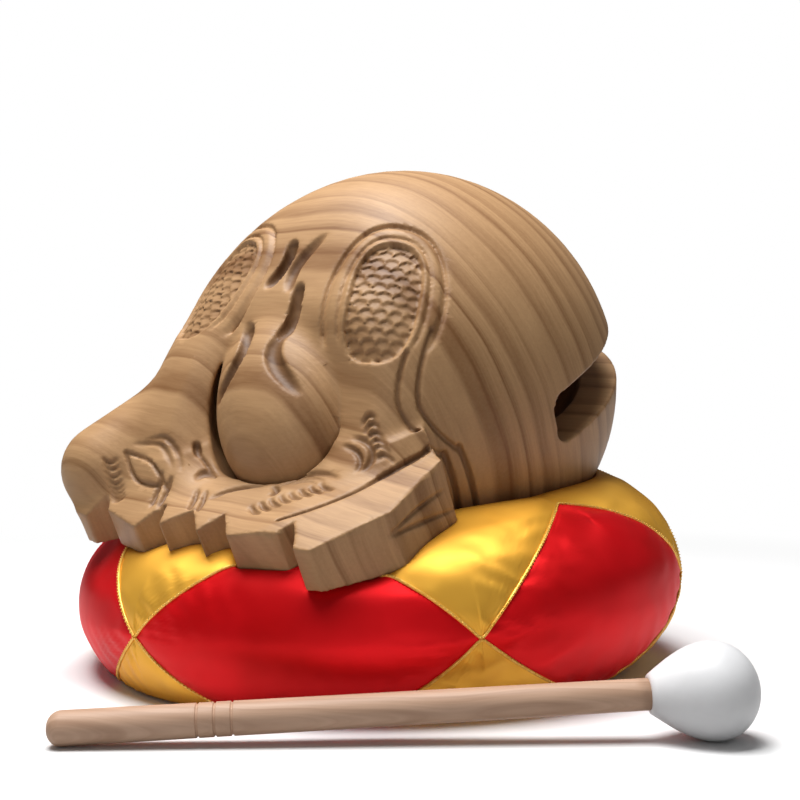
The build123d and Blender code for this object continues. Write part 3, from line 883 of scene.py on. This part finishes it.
slant = {"Axis": (1.0, 0.0, 0.0), "Angle": cord_in["Stitch turn"]}
slant = add(cord_tree, "FunctionNodeAxisAngleToRotation", slant).outputs[0]
slanted = {0: points["Rotation"], 1: slant}
slanted = add(cord_tree, "FunctionNodeRotateRotation", slanted, rotation_space="LOCAL").outputs[0]
stitches = {"Points": points["Points"], "Instance": bead, "Rotation": slanted}
stitches["Scale"] = cord_in["Stitch size"]
stitches = add(cord_tree, "GeometryNodeInstanceOnPoints", stitches).outputs[0]
both = add(cord_tree, "GeometryNodeJoinGeometry")
cord_tree.links.new(tube, both.inputs[0])
cord_tree.links.new(stitches, both.inputs[0])
whole = add(cord_tree, "GeometryNodeRealizeInstances", {0: both.outputs[0]}).outputs[0]
smooth = add(cord_tree, "GeometryNodeSetShadeSmooth", {0: whole}).outputs[0]
threaded = {"Geometry": smooth, "Material": cord_in["Thread"]}
threaded = add(cord_tree, "GeometryNodeSetMaterial", threaded).outputs[0]
cord_tree.links.new(threaded, cord_out["Geometry"])


def grown(name, seed_mesh, tree, values):
    """The plain mesh that a geometry tree grows from a seed mesh, with its named inputs set."""
    seed = placed(name, seed_mesh)
    growth = seed.modifiers.new(name, "NODES")
    growth.node_group = tree
    sockets = {item.name: item.identifier for item in tree.interface.items_tree if item.in_out == "INPUT"}
    for label, value in values.items():
        growth[sockets[label]] = value
    mesh = bpy.data.meshes.new_from_object(seed.evaluated_get(bpy.context.evaluated_depsgraph_get()))
    seed.modifiers.remove(growth)
    seed.data = mesh
    return seed


full_seams = bmesh.new()
full_seams.from_mesh(full)
full_seams.normal_update()
seam_edges = {"upper": [], "lower": []}
for edge in full_seams.edges:
    names = {panel_names[face.material_index].split("_panel")[0] for face in edge.link_faces}
    if "red" not in names or len(names) < 2:
        continue
    seam_edges["upper" if "gold_upper" in names else "lower"].append(edge)
for side, edges in seam_edges.items():
    verts = sorted({vert for edge in edges for vert in edge.verts}, key=lambda vert: vert.index)
    order = {vert: number for number, vert in enumerate(verts)}
    seed_mesh = bpy.data.meshes.new(f"seam_{side}")
    seed_mesh.from_pydata(
        [vert.co + vert.normal * cord_lift for vert in verts],
        [(order[edge.verts[0]], order[edge.verts[1]]) for edge in edges],
        [],
    )
    piping = grown(f"piping_{side}_cord", seed_mesh, cord_tree, {"Thread": piping_cord})
    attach(piping, "cushion")
    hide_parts(f"piping_{side}")
full_seams.free()

# The mallet's handle: beech turned on a lathe, thicker at its rounded tail, with three grooves, and a tenon
# at the thin end. It lies on its tail and on the head, so its axis rises a little.
mallet_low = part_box("mallet_handle")[0]
mallet_yaw = radians(2.2)
handle_length, tail_radius, neck_radius, tail_rounding = 205.0, 6.0, 5.45, 5.0
groove_first, groove_pitch, groove_count, groove_radius, groove_lip = 50.8, 5.9, 3, 0.5, 1.3
tenon_radius, tenon_length = 4.0, 22.0
head_length, head_max_radius, head_max_place, head_face_radius = 38.2, 17.0, 22.5, 6.6
tail_place = np.array((mallet_low.x / mm, mallet_low.y / mm + tail_radius, tail_radius))
mallet_rise = asin((head_max_radius - tail_radius) / (handle_length + head_max_place))
mallet_heading = np.array((cos(mallet_yaw), sin(mallet_yaw), 0.0))
mallet_axis = cos(mallet_rise) * mallet_heading + sin(mallet_rise) * plumb
mallet_side = np.array((-sin(mallet_yaw), cos(mallet_yaw), 0.0))
mallet_up = np.cross(mallet_axis, mallet_side)


def turned(name, profile, sides=64):
    """A piece turned about the mallet's axis, from a profile of places along it and radii."""
    corners = [
        tail_place
        + place * mallet_axis
        + radius * (cos(tau * step / sides) * mallet_side + sin(tau * step / sides) * mallet_up)
        for place, radius in profile
        for step in range(sides)
    ]
    piece = new_piece(name, (np.array(corners) * mm).tolist(), ring_faces(len(profile), sides))
    close_poles(piece)
    piece.data.shade_smooth()
    return piece


def handle_radius(place):
    """The handle's radius, which tapers evenly from its tail to its neck."""
    return tail_radius - (tail_radius - neck_radius) * place / handle_length


handle_profile = [(0.0, 0.0)]
handle_profile += [
    (tail_rounding * (1 - cos(step * pi / 20)), tail_radius - tail_rounding * (1 - sin(step * pi / 20)))
    for step in range(11)
]
for number in range(groove_count):
    middle = groove_first + number * groove_pitch
    surface = handle_radius(middle)
    handle_profile.append((middle - groove_radius * groove_lip, surface))
    handle_profile += [
        (middle + groove_radius * cos(angle), surface - groove_radius * sin(angle))
        for angle in np.linspace(pi, 0, 7)
    ]
    handle_profile.append((middle + groove_radius * groove_lip, surface))
handle_profile += [(place, handle_radius(place)) for place in (100, 150, 200)]
handle_profile += [(handle_length, neck_radius), (handle_length, tenon_radius)]
handle_profile += [(handle_length + tenon_length, tenon_radius), (handle_length + tenon_length, 0.0)]
beech_handle = turned("beech_handle", handle_profile)
turned_beech, tree, shader = new_material("turned_beech", Roughness=0.5, Specular_IOR_Level=0.35)
coords = add(tree, "ShaderNodeTexCoord").outputs["Object"]
log = add(tree, "ShaderNodeMapping", {0: coords, 1: (0.0, 0.19, 0.06), 2: (0.0, pi / 2, 0.0)}).outputs[0]
beech = {
    "Place": log,
    "Ring spacing": 0.004,
    "Early wood": (0.60, 0.39, 0.27, 1),
    "Late wood": (0.34, 0.19, 0.115, 1),
    "Ring strength": 0.8,
}
figure = add(tree, "ShaderNodeGroup", beech, node_tree=wood_tree)
tree.links.new(figure.outputs["Color"], shader.inputs["Base Color"])
beech_handle.data.materials.append(turned_beech)
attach(beech_handle, "mallet")
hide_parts("mallet_handle")

# The mallet's head: an egg of white rubber, moulded with a socket in its narrow end.
# It is glued onto the handle's tenon. Its profile starts inside the socket.
glue_gap, face_edge = 0.05, 0.8
socket_end, socket_radius = handle_length + tenon_length + glue_gap, tenon_radius + glue_gap
egg_profile = [(socket_end, 0.0), (socket_end, socket_radius)]
egg_profile += [(handle_length, socket_radius), (handle_length, head_face_radius - face_edge)]
for angle in np.linspace(0.02, pi / 2, 20):
    flare = (head_max_radius - head_face_radius) * sin(angle)
    egg_profile.append((handle_length + head_max_place * angle / (pi / 2), head_face_radius + flare))
for angle in np.linspace(0, pi / 2, 20)[1:]:
    crown = (head_length - head_max_place) * sin(angle)
    egg_profile.append((handle_length + head_max_place + crown, head_max_radius * cos(angle)))
rubber_head = turned("rubber_head", egg_profile)
white_rubber, tree, shader = new_material("white_rubber", Roughness=0.42, Specular_IOR_Level=0.45)
mottle(tree, shader, 90.0, 3.0, [(0.3, (0.78, 0.78, 0.79)), (0.7, (0.84, 0.84, 0.85))])
rubber_head.data.materials.append(white_rubber)
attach(rubber_head, "mallet")
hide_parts("mallet_head")

# The studio: a pale floor that fades to white away from the set, a wide lamp overhead and a weak one in
# front. The floor throws less light back than it shows, so that the undersides stay in shade.
floor_half, white_from, white_to = 4.0, 0.34, 0.62
floor_corners = [(x * floor_half, y * floor_half, 0) for x, y in ((-1, -1), (1, -1), (1, 1), (-1, 1))]
floor = new_piece("floor", floor_corners, [(0, 1, 2, 3)])
pale_floor, tree, shader = new_material("pale_floor", Roughness=0.9)
white = add(tree, "ShaderNodeEmission", {"Color": (1, 1, 1, 1), "Strength": 1.0}).outputs[0]
coords = add(tree, "ShaderNodeTexCoord").outputs["Object"]
fade = {0: maths(tree, "LENGTH", coords, vector=True), 1: white_from, 2: white_to}
fade = add(tree, "ShaderNodeMapRange", fade, interpolation_type="SMOOTHSTEP").outputs[0]
rays = add(tree, "ShaderNodeLightPath").outputs
seen = maths(tree, "MAXIMUM", rays["Is Camera Ray"], rays["Is Glossy Ray"])
paint = mixed(tree, seen, (0.4, 0.4, 0.4, 1), (0.92, 0.92, 0.92, 1))
tree.links.new(paint, shader.inputs["Base Color"])
share = maths(tree, "MULTIPLY", fade, seen)
merged = add(tree, "ShaderNodeMixShader", {0: share, 1: shader.outputs[0], 2: white}).outputs[0]
tree.links.new(merged, tree.nodes["Material Output"].inputs["Surface"])
floor.data.materials.append(pale_floor)

ambient = 0.10
world = bpy.data.worlds.new("studio")
bpy.context.scene.world = world
world.use_nodes = True
tree = world.node_tree
backdrop = tree.nodes["Background"]
rays = add(tree, "ShaderNodeLightPath").outputs
strength = add(tree, "ShaderNodeMix", {0: rays["Is Camera Ray"], 2: ambient, 3: 1.0}).outputs[0]
backdrop.inputs["Color"].default_value = (1, 1, 1, 1)
tree.links.new(strength, backdrop.inputs["Strength"])
lamps = (("key", (-0.16, -0.08, 1.15), 0.7, 21), ("fill", (-0.3, -1.4, 0.5), 0.8, 1.5))
lit_place = Vector((0, 0, 0.1))
for name, place, size, power in lamps:
    lamp = bpy.data.lights.new(name, "AREA")
    lamp.energy, lamp.size = power, size
    lamp_object = placed(name, lamp)
    lamp_object.location = place
    lamp_object.rotation_euler = (lit_place - Vector(place)).to_track_quat("-Z", "Y").to_euler()
# The camera looks straight ahead, a little above half the height of the set
camera = bpy.data.cameras.new("camera")
camera.sensor_width, camera.lens = 36, 55.4
camera_object = placed("camera", camera)
camera_object.location = (0.0087, -0.567, 0.117)
camera_object.rotation_euler = (pi / 2, 0, 0)
bpy.context.scene.camera = camera_object
bpy.context.scene.view_settings.view_transform = "Standard"
